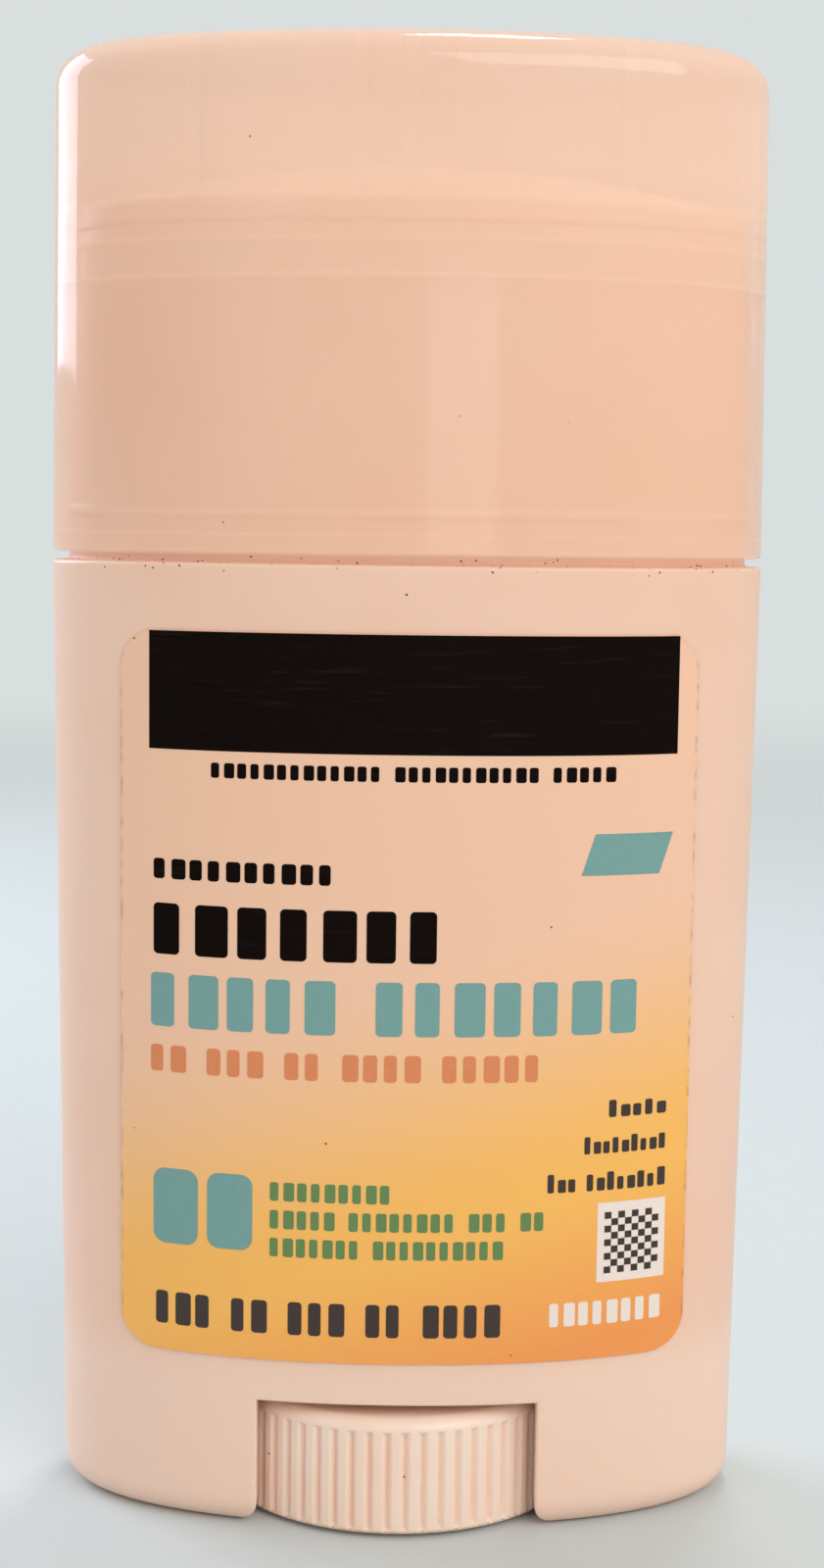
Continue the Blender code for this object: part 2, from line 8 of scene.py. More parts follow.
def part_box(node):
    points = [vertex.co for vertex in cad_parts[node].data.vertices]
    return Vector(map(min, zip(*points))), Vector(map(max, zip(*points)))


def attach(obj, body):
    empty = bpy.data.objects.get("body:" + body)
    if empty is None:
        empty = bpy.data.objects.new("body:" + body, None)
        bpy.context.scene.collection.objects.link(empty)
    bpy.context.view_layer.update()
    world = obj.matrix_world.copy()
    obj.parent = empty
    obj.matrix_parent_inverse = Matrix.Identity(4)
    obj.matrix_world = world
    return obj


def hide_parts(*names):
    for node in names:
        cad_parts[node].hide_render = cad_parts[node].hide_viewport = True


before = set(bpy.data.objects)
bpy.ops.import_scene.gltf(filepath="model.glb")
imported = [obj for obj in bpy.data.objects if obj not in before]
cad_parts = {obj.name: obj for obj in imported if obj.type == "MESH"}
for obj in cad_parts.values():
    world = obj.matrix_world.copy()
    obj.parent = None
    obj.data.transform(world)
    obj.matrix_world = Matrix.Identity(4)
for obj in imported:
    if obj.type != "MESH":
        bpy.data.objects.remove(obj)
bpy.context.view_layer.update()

# Oval twist-up sunscreen stick. Sizes are in millimetres, apart from the stage and the lamps, which
# are in metres as the meshes are.
mm = 0.001
twinGap = 0.0002                          # points nearer than this are one point
past = 1.0                                # how far a cutter runs past the face that it cuts through
outside = 20.0                            # a place outside every wall, for cutters, ribs and spokes


def edge(node, axis, high=True):  # one side of a CAD node's box
    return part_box(node)[1 if high else 0][axis] / mm


oval = {
    "power": 2.11,                        # 2 would be an ellipse
    "halfWidth": edge("barrel", 0),       # at the shoulder, where cap and barrel meet
    "halfDepth": edge("barrel", 1),
    "barrelDraft": 0.70,                  # degrees
    "capDraft": 0.49,
    "footRadius": 2.35,
    "sides": 256,
    "beadGap": ((0.62, 0.68), (0.84, 0.88)),  # shares of the width where the snap bead fades out and in
    "crownShares": (0.95, 0.88, 0.8, 0.7, 0.6, 0.5, 0.4, 0.3, 0.2, 0.1, 0.03),  # rings of a domed top
}
heights = {  # places that more than one piece keeps to
    "shoulder": 71.9,
    "bead": 75.6,                         # snap bead of the neck, and the groove for it in the cap
    "land": 92.3,                         # the neck steps in here
    "ridge": 94.9,                        # fine ridge under the rim
    "leadIn": 96.1,                       # fine groove, above which the rim tapers
}
excess = oval["halfWidth"] - oval["halfDepth"]  # by which every oval is wider than deep, to either side
capBase = edge("cap", 2, False)
rimHeight = edge("barrel", 2)


def linear(hexColour):  # sRGB hex to the linear values that the shaders take
    parts = [int(hexColour[i:i + 2], 16) / 255 for i in (1, 3, 5)]
    return tuple(p / 12.92 if p <= 0.04045 else ((p + 0.055) / 1.055) ** 2.4 for p in parts) + (1.0,)


def addNode(tree, kind, settings=None, links=None):
    node = tree.nodes.new("ShaderNode" + kind)
    for key, value in (settings or {}).items():
        if isinstance(key, str) and hasattr(node, key):
            setattr(node, key, value)
        else:
            node.inputs[key].default_value = value
    for key, socket in (links or {}).items():
        tree.links.new(socket, node.inputs[key])
    return node


def newMaterial(name, sockets):
    material = bpy.data.materials.new(name)
    material.use_nodes = True
    shader = material.node_tree.nodes["Principled BSDF"]
    for key, value in sockets.items():
        shader.inputs[key].default_value = value
    return material, material.node_tree, shader


def dress(tree, shader, tint, gloss, bump):
    tree.links.new(tint.outputs[2], shader.inputs["Base Color"])
    tree.links.new(gloss.outputs[0], shader.inputs["Roughness"])
    tree.links.new(bump.outputs[0], shader.inputs["Normal"])


def smooth(value, low, high):
    share = min(max((value - low) / (high - low), 0.0), 1.0)
    return share * share * (3 - 2 * share)


def barrelHalf(z):  # half width of the barrel at a height
    radius = oval["footRadius"]
    below = heights["shoulder"] - max(z, radius)
    half = oval["halfWidth"] - below * math.tan(math.radians(oval["barrelDraft"]))
    if z < radius:  # rounded foot
        drop = min((radius - z) / radius, 1.0)
        half -= radius * (1 - math.sqrt(1 - drop * drop))
    return half


def capHalf(z):
    return oval["halfWidth"] - (z - capBase) * math.tan(math.radians(oval["capDraft"]))


def ovalDepth(half, x):  # from the middle plane to the front of an oval with this half width
    share = min(abs(x) / half, 1.0)
    return (half - excess) * (1 - share ** oval["power"]) ** (1 / oval["power"])


def bodyFront(x, z, lift=0.0):  # how far the barrel's skin stands from its middle plane
    return ovalDepth(barrelHalf(z) + lift, x)


def ovalRing(half, z, share=1.0, swell=0.0, sides=None):
    sides = sides or oval["sides"]
    fadeOut, comeBack = oval["beadGap"]
    points = []
    for i in range(sides):
        turn = math.tau * i / sides
        across, along = (math.copysign(abs(v) ** (2 / oval["power"]), v)
                         for v in (math.cos(turn), math.sin(turn)))
        grow = swell * (1 - smooth(abs(across), *fadeOut) + smooth(abs(across), *comeBack))
        points.append(((half + grow) * share * across, (half - excess + grow) * share * along, z))
    return points


def crownRings(half, z, rise, sides=None):  # rings of a top that is domed along and across
    return [ovalRing(half, z + rise * (1 - k * k), k, sides=sides) for k in oval["crownShares"]]


def disc(radius, z, sides=96, x=0.0):
    turns = [math.tau * i / sides for i in range(sides)]
    return [(x + radius * math.cos(turn), radius * math.sin(turn), z) for turn in turns]


def roundOver(half, z, radius, start, end, steps):  # (half width, height) round an edge, in degrees
    turns = [math.radians(start + (end - start) * i / steps) for i in range(steps + 1)]
    return [(half - radius * (1 - math.cos(t)), z + radius * math.sin(t)) for t in turns]


def finish(name, form):
    bmesh.ops.recalc_face_normals(form, faces=form.faces[:])
    mesh = bpy.data.meshes.new(name)
    form.to_mesh(mesh)
    form.free()
    item = bpy.data.objects.new(name, mesh)
    bpy.context.scene.collection.objects.link(item)
    return item


def loft(name, rings):  # closed body through rings of points, all with the same count
    form = bmesh.new()
    loops = [[form.verts.new(Vector(p) * mm) for p in ring] for ring in rings]
    for low, high in zip(loops, loops[1:]):
        for i, point in enumerate(low):
            form.faces.new((low[i - 1], point, high[i], high[i - 1]))
    form.faces.new(loops[0])
    form.faces.new(loops[-1])
    return finish(name, form)


def box(name, low, high):
    form = bmesh.new()
    size = (Vector(high) - Vector(low)) * mm
    middle = (Vector(high) + Vector(low)) * mm / 2
    spread = Matrix.Translation(middle) @ Matrix.Diagonal(size).to_4x4()
    bmesh.ops.create_cube(form, size=1.0, matrix=spread)
    return finish(name, form)


def carve(target, cutter):  # cut at once, weld the twin points that a cut can leave, and drop the cutter
    step = target.modifiers.new("carve", "BOOLEAN")
    step.object = cutter
    step.operation = "DIFFERENCE"
    step.solver = "EXACT"
    seen = target.evaluated_get(bpy.context.evaluated_depsgraph_get())
    mesh = bpy.data.meshes.new_from_object(seen)
    form = bmesh.new()
    form.from_mesh(mesh)
    bmesh.ops.remove_doubles(form, verts=form.verts[:], dist=twinGap * mm)
    form.to_mesh(mesh)
    form.free()
    target.modifiers.clear()
    old, target.data = target.data, mesh
    bpy.data.meshes.remove(old)
    bpy.data.objects.remove(cutter)


def shade(item, angle, weighted=True):  # smooth, but for edges sharper than the angle
    item.data.shade_smooth()
    item.data.set_sharp_from_angle(angle=math.radians(angle))
    if weighted:
        normals = item.modifiers.new("normals", "WEIGHTED_NORMAL")
        normals.keep_sharp = True
        normals.weight = 80


def place(item, body, material=None, stands=()):
    if material:
        item.data.materials.clear()
        item.data.materials.append(material)
    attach(item, body)
    if stands:
        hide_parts(*stands)


# Injection-moulded polypropylene: a soft satin, slightly waxy white, a fine spark-eroded grain,
# slow cloudiness where the wall cooled, and the odd speck of dust that its static holds. Its hexes
# are warmer than the plastic is, for the warm light of the photograph. Grain and cloud are in mm.
plasticLooks = {
    "barrel": {
        # foot: a paler colour painted round the feet, for light bounced up off the floor
        "pale": "#F6CEB5", "deep": "#F3C7AD", "foot": "#F9D4BE", "footBand": (15.5, 10.5),
        "roughness": (0.30, 0.42), "grain": 0.16, "cloud": 16.0, "bump": 0.10,
        "dust": 0.003, "seamDust": 0.9, "scatter": 0.22, "shine": 0.36},
    "wheel": {
        "pale": "#FFE3D0", "deep": "#FEDCC6",
        "roughness": (0.30, 0.40), "grain": 0.14, "cloud": 9.0, "bump": 0.08,
        "dust": 0.003, "seamDust": 0.0, "scatter": 0.22, "shine": 0.45},
    "elevator": {
        "pale": "#EFE9E2", "deep": "#E4DDD5",
        "roughness": (0.38, 0.50), "grain": 0.2, "cloud": 6.0, "bump": 0.10,
        "dust": 0.0, "seamDust": 0.0, "scatter": 0.15, "shine": 0.4},
    "spindle": {
        "pale": "#F1EEEA", "deep": "#E6E3DE",
        "roughness": (0.28, 0.38), "grain": 0.12, "cloud": 5.0, "bump": 0.06,
        "dust": 0.0, "seamDust": 0.0, "scatter": 0.15, "shine": 0.5},
}
dustLook = {
    "colour": "#7A5236",
    "cell": 0.6,                          # mm, with one speck in it at most
    "speck": 0.15,                        # radius of a speck as a share of its cell
    "seamBand": (0.2, 0.7),               # mm from the shoulder, where the seam's dust thins out
}


def dustMask(tree, where, keep, seamKeep):  # 1 on the specks; keep is the share of cells that hold one
    cells = addNode(tree, "TexVoronoi", {"Scale": 1000 / dustLook["cell"]}, {"Vector": where})
    speck = addNode(tree, "Math", {"operation": "LESS_THAN", 1: dustLook["speck"]},
                    {0: cells.outputs["Distance"]})
    height = addNode(tree, "SeparateXYZ", links={0: where}).outputs["Z"]
    away = addNode(tree, "Math", {"operation": "SUBTRACT", 1: heights["shoulder"] * mm}, {0: height})
    away = addNode(tree, "Math", {"operation": "ABSOLUTE"}, {0: away.outputs[0]})
    near, far = dustLook["seamBand"]
    share = addNode(tree, "MapRange", {"From Min": near * mm, "From Max": far * mm,
                                       "To Min": seamKeep, "To Max": keep}, {"Value": away.outputs[0]})
    lot = addNode(tree, "SeparateColor", links={0: cells.outputs["Color"]})
    kept = addNode(tree, "Math", {"operation": "LESS_THAN"}, {0: lot.outputs[0], 1: share.outputs[0]})
    mask = addNode(tree, "Math", {"operation": "MULTIPLY"}, {0: speck.outputs[0], 1: kept.outputs[0]})
    return mask.outputs[0]


def mouldedPolypropylene(name, look, extra=None):
    sockets = {"IOR": 1.49, "Metallic": 0.0, "Subsurface Weight": look["scatter"],
               "Subsurface Radius": (1.0, 0.62, 0.42), "Subsurface Scale": 1.6 * mm,
               "Specular IOR Level": look["shine"]}
    material, tree, shader = newMaterial(name, {**sockets, **(extra or {})})
    where = addNode(tree, "TexCoord").outputs["Object"]
    cloud = addNode(tree, "TexNoise", {"Scale": 1000 / look["cloud"], "Detail": 2.0}, {"Vector": where})
    grain = addNode(tree, "TexNoise", {"Scale": 1000 / look["grain"], "Detail": 3.0, "Roughness": 0.6},
                    {"Vector": where})
    tone = addNode(tree, "MapRange", {"From Min": 0.35, "From Max": 0.65}, {"Value": cloud.outputs["Fac"]})
    tint = addNode(tree, "Mix", {"data_type": "RGBA", 6: linear(look["deep"]), 7: linear(look["pale"])},
                   {0: tone.outputs[0]})
    if "foot" in look:  # painted bounce light: paler round the feet, for light bounced up off the floor
        height = addNode(tree, "SeparateXYZ", links={0: where}).outputs["Z"]
        bandTop, bandBase = look["footBand"]
        paintedBounce = addNode(tree, "MapRange", {"interpolation_type": "SMOOTHSTEP", "From Min": bandTop * mm,
                                              "From Max": bandBase * mm}, {"Value": height})
        tint = addNode(tree, "Mix", {"data_type": "RGBA", 7: linear(look["foot"])},
                       {0: paintedBounce.outputs[0], 6: tint.outputs[2]})
    dust = dustMask(tree, where, look["dust"], look["seamDust"])
    tint = addNode(tree, "Mix", {"data_type": "RGBA", 7: linear(dustLook["colour"])},
                   {0: dust, 6: tint.outputs[2]})
    low, high = look["roughness"]
    gloss = addNode(tree, "MapRange", {"From Min": 0.3, "From Max": 0.7, "To Min": low, "To Max": high},
                    {"Value": grain.outputs["Fac"]})
    bump = addNode(tree, "Bump", {"Strength": look["bump"], "Distance": 0.04 * mm},
                   {"Height": grain.outputs["Fac"]})
    dress(tree, shader, tint, gloss, bump)
    return material


whitePolypropylene = mouldedPolypropylene("white polypropylene, moulded", plasticLooks["barrel"])
wheelPolypropylene = mouldedPolypropylene("white polypropylene, moulded ribs", plasticLooks["wheel"])
naturalPolyethylene = mouldedPolypropylene("natural polyethylene, moulded", plasticLooks["elevator"])
naturalPolypropylene = mouldedPolypropylene(
    "natural polypropylene, polished mould", plasticLooks["spindle"])

# Thin clear-grade polypropylene with a little white in it: milky, so the neck and the dome inside
# show as soft bands, and polished outside, so its end takes a crisp highlight. It is whiter where
# there is more plastic in line, over the ribs. Its rings are painted on the wall: lighter bands paint
# the highlights on the lead-in, the bead, the land and the ridge, and the lit rim and dome behind
# the wall; a darker band paints the shade in the neck's groove.
capLook = {
    "pale": "#FFD5B8", "deep": "#FFD0B1",
    "roughness": (0.05, 0.08), "grain": 0.3, "cloud": 18.0, "bump": 0.02,
    "dust": 0.002, "seamDust": 0.5, "scatter": 0.15, "shine": 0.5,
    "veil": 0.62, "insideVeil": 0.10,     # alpha of the outer and of the inner faces
    "lightThrough": 0.65,                 # share of the veil that a shadow leaves out
    "upperVeil": 0.08,                    # added above the land, and fading out again towards the top
    "ribVeil": 0.03, "ribHalf": (0.35, 0.65), "ribFade": (0.1, 0.5),
    "ribPlaces": (0.0, 3.6, 15.5),        # from the middle, to either side
    "rings": (                            # painted highlight and shade lines: height, half its own height and added veil
        (74.0, 0.2, 0.05), (heights["bead"], 0.4, 0.06), (heights["land"], 0.25, 0.14),
        (heights["ridge"], 0.35, 0.04), (heights["leadIn"], 0.4, -0.05), (97.7, 0.6, 0.06),
        (100.3, 1.9, 0.04)),
}
capScatter = {"Subsurface Scale": 1.0 * mm, "Subsurface Radius": (1.0, 1.0, 1.0)}
translucentPolypropylene = mouldedPolypropylene(
    "translucent polypropylene, polished mould", capLook, capScatter)
insidePolypropylene = mouldedPolypropylene(
    "translucent polypropylene, inner face", capLook, {**capScatter, "Alpha": capLook["insideVeil"]})


def veilOverRibs(material, look):  # the outer faces' alpha, from the height and the nearest rib
    tree = material.node_tree
    spot = addNode(tree, "SeparateXYZ", links={0: addNode(tree, "TexCoord").outputs["Object"]})
    across = addNode(tree, "Math", {"operation": "ABSOLUTE"}, {0: spot.outputs["X"]}).outputs[0]
    near = across
    for ribPlace in look["ribPlaces"][1:]:
        off = addNode(tree, "Math", {"operation": "SUBTRACT", 1: ribPlace * mm}, {0: across})
        off = addNode(tree, "Math", {"operation": "ABSOLUTE"}, {0: off.outputs[0]})
        near = addNode(tree, "Math", {"operation": "MINIMUM"}, {0: near, 1: off.outputs[0]}).outputs[0]
    inner, outer = look["ribHalf"]
    stripe = addNode(tree, "MapRange", {"interpolation_type": "SMOOTHSTEP", "From Min": outer * mm,
                                        "From Max": inner * mm}, {"Value": near})
    low, high = capBase, edge("cap", 2)
    level = addNode(tree, "MapRange", {"From Min": low * mm, "From Max": high * mm},
                    {"Value": spot.outputs["Z"]})
    ramp = addNode(tree, "ValToRGB", links={0: level.outputs[0]})
    stops = ramp.color_ramp.elements
    stops[0].color = (look["veil"], look["veil"], look["veil"], 1)
    stops[1].color = stops[0].color
    # each ring paints a line: a highlight where its added veil is above nought, a shade where below
    for middle, half, more in look["rings"]:
        for height, extra in ((middle - half, 0.0), (middle, more), (middle + half, 0.0)):
            grey = look["veil"] + extra + (look["upperVeil"] if height > heights["land"] else 0.0)
            stops.new((height - low) / (high - low)).color = (grey, grey, grey, 1)
    start, full = look["ribFade"]  # the ribs begin above the rim
    above = addNode(tree, "MapRange", {"From Min": (rimHeight + start) * mm,
                                       "From Max": (rimHeight + full) * mm, "To Max": look["ribVeil"]},
                    {"Value": spot.outputs["Z"]})
    veil = addNode(tree, "Math", {"operation": "MULTIPLY_ADD"},
                   {0: stripe.outputs[0], 1: above.outputs[0], 2: ramp.outputs["Color"]})
    # scattered light gets through the wall more easily than a clear view does, so the inside is well lit
    shadow = addNode(tree, "LightPath").outputs["Is Shadow Ray"]
    held = addNode(tree, "Math", {"operation": "MULTIPLY_ADD", 1: -look["lightThrough"], 2: 1.0},
                   {0: shadow})
    veil = addNode(tree, "Math", {"operation": "MULTIPLY"}, {0: veil.outputs[0], 1: held.outputs[0]})
    tree.links.new(veil.outputs[0], tree.nodes["Principled BSDF"].inputs["Alpha"])


veilOverRibs(translucentPolypropylene, capLook)

# Mineral wax cast in place: matt, a little cloudy, with pin-holes and a faint swirl where it set.
waxLook = {"pale": "#FBDDC6", "deep": "#F5D2B9", "swirl": 6.0, "pinholes": 0.9, "grain": 0.35}


def castMineralWax(look):
    material, tree, shader = newMaterial("mineral wax, cast", {
        "IOR": 1.44, "Metallic": 0.0, "Subsurface Weight": 0.35, "Subsurface Radius": (1.0, 0.7, 0.5),
        "Subsurface Scale": 2.0 * mm, "Specular IOR Level": 0.35})
    where = addNode(tree, "TexCoord").outputs["Object"]
    swirl = addNode(tree, "TexNoise", {"Scale": 1000 / look["swirl"], "Detail": 4.0, "Distortion": 1.2},
                    {"Vector": where})
    grain = addNode(tree, "TexNoise", {"Scale": 1000 / look["grain"], "Detail": 4.0}, {"Vector": where})
    holes = addNode(tree, "TexVoronoi", {"Scale": 1000 / look["pinholes"]}, {"Vector": where})
    pit = addNode(tree, "MapRange", {"From Min": 0.05, "From Max": 0.16},
                  {"Value": holes.outputs["Distance"]})
    height = addNode(tree, "Math", {"operation": "MULTIPLY_ADD", 1: 0.5},
                     {0: grain.outputs["Fac"], 2: pit.outputs[0]})
    tint = addNode(tree, "Mix", {"data_type": "RGBA", 6: linear(look["deep"]), 7: linear(look["pale"])},
                   {0: swirl.outputs["Fac"]})
    gloss = addNode(tree, "MapRange", {"To Min": 0.42, "To Max": 0.62}, {"Value": swirl.outputs["Fac"]})
    bump = addNode(tree, "Bump", {"Strength": 0.25, "Distance": 0.06 * mm}, {"Height": height.outputs[0]})
    dress(tree, shader, tint, gloss, bump)
    return material


# Polypropylene label film, printed and varnished: a blend that runs from the bare white of the film
# to yellow and, at the lower right, to orange, under a varnish with a faint orange peel.
filmLook = {
    "bare": "#F6C4A3", "yellow": "#FDBA55", "orange": "#F79849",
    "lean": 0.216,                        # how much higher the yellow stands on the right, as a share
    "yellowBand": (0.467, 0.075),         # where it begins and where it is full, as shares of the height
    "orangeStart": 0.13, "orangeReach": 1.18, "orangeFade": 4.8,  # at the left, gained across, lost upwards
    "peel": 1.4, "mottle": 0.5, "speckle": 0.10, "dust": 0.004,
    "edgeLineShare": 0.5, "edgeColour": "#8A6248",
    "edgeWidth": 0.25, "edgeRun": 1.2,    # mm across the line and along its breaks
}


def printedFilm(name, side, look, sizes):
    material, tree, shader = newMaterial(name, {
        "IOR": 1.49, "Metallic": 0.0, "Coat Weight": 0.25, "Coat Roughness": 0.16,
        "Specular IOR Level": 0.5})
    where = addNode(tree, "TexCoord").outputs["Object"]
    spot = addNode(tree, "SeparateXYZ", links={0: where})
    across = addNode(tree, "MapRange", {"clamp": False, "From Min": -side * sizes["left"] * mm,
                                        "From Max": -side * sizes["right"] * mm},
                     {"Value": spot.outputs["X"]}).outputs[0]
    up = addNode(tree, "MapRange", {"clamp": False, "From Min": sizes["low"] * mm,
                                    "From Max": sizes["high"] * mm},
                 {"Value": spot.outputs["Z"]}).outputs[0]
    # the yellow starts higher on the right, and the orange comes up from the lower right corner
    level = addNode(tree, "Math", {"operation": "MULTIPLY_ADD", 1: -look["lean"]}, {0: across, 2: up})
    begin, full = look["yellowBand"]
    yellow = addNode(tree, "MapRange", {"interpolation_type": "SMOOTHSTEP", "From Min": begin,
                                        "From Max": full}, {"Value": level.outputs[0]})
    reach = addNode(tree, "Math", {"operation": "MULTIPLY_ADD", 1: look["orangeReach"],
                                   2: look["orangeStart"]}, {0: across})
    orange = addNode(tree, "Math", {"operation": "MULTIPLY_ADD", 1: -look["orangeFade"]},
                     {0: up, 2: reach.outputs[0]})
    mottle = addNode(tree, "TexNoise", {"Scale": 1000 / look["mottle"], "Detail": 2.0}, {"Vector": where})
    speckle = addNode(tree, "Math", {"operation": "MULTIPLY_ADD", 1: look["speckle"],
                                     2: -look["speckle"] / 2}, {0: mottle.outputs["Fac"]})
    warm = addNode(tree, "Math", {"operation": "ADD", "use_clamp": True},
                   {0: orange.outputs[0], 1: speckle.outputs[0]})
    ink = addNode(tree, "Mix", {"data_type": "RGBA", 6: linear(look["yellow"]), 7: linear(look["orange"])},
                  {0: warm.outputs[0]})
    tint = addNode(tree, "Mix", {"data_type": "RGBA", 6: linear(look["bare"])},
                   {0: yellow.outputs[0], 7: ink.outputs[2]})
    dust = dustMask(tree, where, look["dust"], look["dust"])
    tint = addNode(tree, "Mix", {"data_type": "RGBA", 7: linear(dustLook["colour"])},
                   {0: dust, 6: tint.outputs[2]})
    # the side edges of the film get a broken line, darker and browner
    rim = addNode(tree, "Math", {"operation": "PINGPONG", 1: 0.5}, {0: across})
    line = look["edgeWidth"] / (sizes["right"] - sizes["left"])
    rim = addNode(tree, "MapRange", {"From Min": 0.0, "From Max": line, "To Min": 1.0, "To Max": 0.0},
                  {"Value": rim.outputs[0]})
    held = addNode(tree, "TexNoise", {"Scale": 1000 / look["edgeRun"], "Detail": 3.0}, {"Vector": where})
    held = addNode(tree, "MapRange", {"From Min": 0.45, "From Max": 0.62, "To Max": look["edgeLineShare"]},
                   {"Value": held.outputs["Fac"]})
    held = addNode(tree, "Math", {"operation": "MULTIPLY"}, {0: rim.outputs[0], 1: held.outputs[0]})
    tint = addNode(tree, "Mix", {"data_type": "RGBA", 7: linear(look["edgeColour"])},
                   {0: held.outputs[0], 6: tint.outputs[2]})
    peel = addNode(tree, "TexNoise", {"Scale": 1000 / look["peel"], "Detail": 2.0}, {"Vector": where})
    gloss = addNode(tree, "MapRange", {"To Min": 0.26, "To Max": 0.36}, {"Value": peel.outputs["Fac"]})
    bump = addNode(tree, "Bump", {"Strength": 0.06, "Distance": 0.06 * mm}, {"Height": peel.outputs["Fac"]})
    dress(tree, shader, tint, gloss, bump)
    return material


# Flexographic inks under the varnish: even, with a slight mottle; the solid black is flat, with fine rubs.
varnished = {"rub": 0.0, "shine": 0.4, "coat": 0.15}
inkLooks = {
    "black": {"ink": "#0F0806", "thin": "#150D0A", "rub": 0.02, "shine": 0.03, "coat": 0.0},
    "dark": {"ink": "#33231C", "thin": "#3D2B22", **varnished},
    "teal": {"ink": "#6F9C97", "thin": "#7AA39C", **varnished},
    "green": {"ink": "#5D7F45", "thin": "#69894F", **varnished},
    "orange": {"ink": "#DE7F4C", "thin": "#E38C5B", **varnished},
    "white": {"ink": "#F6E6DA", "thin": "#F1DED0", **varnished},
}
# rubs are level, some 6 mm long and 0.3 mm high; the turn keeps them off the grid of the noise
inkWear = {"mottle": 0.4, "rubLength": 6.0, "rubHeight": 0.3, "turn": 0.5, "rubbed": "#B7A89C"}


def flexoInk(name, look, wear):
    material, tree, shader = newMaterial("flexographic ink, " + name, {
        "IOR": 1.49, "Metallic": 0.0, "Coat Weight": look["coat"], "Coat Roughness": 0.16,
        "Specular IOR Level": look["shine"]})
    where = addNode(tree, "TexCoord").outputs["Object"]
    mottle = addNode(tree, "TexNoise", {"Scale": 1000 / wear["mottle"], "Detail": 3.0}, {"Vector": where})
    along, upwards = 1000 / wear["rubLength"], 1000 / wear["rubHeight"]
    drawn = addNode(tree, "Mapping", {"Rotation": (0.0, wear["turn"], 0.0),
                                      "Scale": (along, along, upwards)}, {"Vector": where})
    streak = addNode(tree, "TexNoise", {"Scale": 1.0, "Detail": 2.0}, {"Vector": drawn.outputs[0]})
    rub = addNode(tree, "MapRange", {"From Min": 0.62, "From Max": 0.8, "To Max": look["rub"]},
                  {"Value": streak.outputs["Fac"]})
    tint = addNode(tree, "Mix", {"data_type": "RGBA", 6: linear(look["ink"]), 7: linear(look["thin"])},
                   {0: mottle.outputs["Fac"]})
    tint = addNode(tree, "Mix", {"data_type": "RGBA", 7: linear(wear["rubbed"])},
                   {0: rub.outputs[0], 6: tint.outputs[2]})
    gloss = addNode(tree, "MapRange", {"To Min": 0.24, "To Max": 0.38}, {"Value": mottle.outputs["Fac"]})
    bump = addNode(tree, "Bump", {"Strength": 0.05, "Distance": 0.04 * mm},
                   {"Height": mottle.outputs["Fac"]})
    dress(tree, shader, tint, gloss, bump)
    return material


barrelSizes = {
    "wallLevels": (4, 6, 8, 10, 11, 12, 13, 15, 20, 28, 36, 44, 52, 60, 66, 70),
    "shoulderRound": 0.3,
    "neckInset": 1.25,                    # cap wall and clearance
    "neckRoot": 0.25, "neckLevels": (80, 86),
    "beadHalf": 0.5, "beadSwell": 0.18,
    "landStep": 0.35, "landSlope": 0.15,
    "ridge": ((-0.4, 0.0), (-0.15, 0.10), (0.15, 0.10), (0.4, 0.0)),  # up from its middle, and out
    "groove": ((-0.2, 0.0), (0.0, -0.12), (0.2, 0.0)),
    "taper": 0.25,
    "rimOutside": ((0.0, -0.25), (-0.08, -0.07), (-0.25, 0.0)),  # out from the rim's corner, and up
    "rimInside": ((0.25, 0.0), (0.07, -0.07), (0.0, -0.25)),
    "chamberHalf": 24.03, "chamberLevels": (80, 60, 40, 20),
    "floorTop": 11.7, "floorBase": 9.9, "footFloor": 1.8, "pocketStep": 0.4,
    "wellRadius": 14.3, "wellWall": 1.5, "wellSides": 192,
    "windowHalf": 10.4, "windowCorner": 1.9, "windowSteps": 8, "windowColumns": 12,
    "windowEase": 0.26,                   # eased edge: shares of it out of the opening, and in from the skin
    "easeShares": ((1.25, -0.2), (0.5, 0.134), (0.134, 0.5), (0.0, 1.0)),
    "boreRadius": 4.2355,
}


def windowOutline(offset):
    s = barrelSizes
    half, top, corner, steps = s["windowHalf"], s["floorBase"], s["windowCorner"], s["windowSteps"]
    right = [(half + offset, top + offset)]
    right += [(half + offset, corner + (top - corner) * i / steps) for i in range(steps - 1, 0, -1)]
    for i in range(steps + 1):  # foot's inner corner; the eased edge fades out at its underside
        turn = math.radians(90 * i / steps)
        radius = corner - offset * math.cos(turn)
        right.append((half + corner - radius * math.cos(turn), corner - radius * math.sin(turn)))
    right.append((half + corner, -past))
    left = [(-x, z) for x, z in reversed(right)]
    columns = s["windowColumns"]
    across = [(half * (1 - i / columns), top + offset) for i in range(2 * columns - 1, 0, -1)]
    return right + left + across


def windowCutter():  # both windows at once, from the front's face to the back's
    s = barrelSizes
    ease = s["windowEase"]
    widest = s["easeShares"][0][0]
    rings = [[(x, -outside, z) for x, z in windowOutline(widest * ease)]]
    for offset, depth in s["easeShares"]:
        rings.append([(x, depth * ease - bodyFront(x, max(z, 0.0)), z)
                      for x, z in windowOutline(offset * ease)])
    rings += [[(x, -y, z) for x, y, z in ring] for ring in reversed(rings)]
    return loft("windowCutter", rings)


def neckHalf(z):
    return capHalf(z) - barrelSizes["neckInset"]


def beadRings(halfAt, swell, steps=8):  # the neck's snap bead, or the cap's groove for it
    rings = []
    for i in range(steps + 1):
        turn = math.pi * i / steps
        z = heights["bead"] - barrelSizes["beadHalf"] * math.cos(turn)
        rings.append(ovalRing(halfAt(z), z, swell=swell * math.sin(turn)))
    return rings


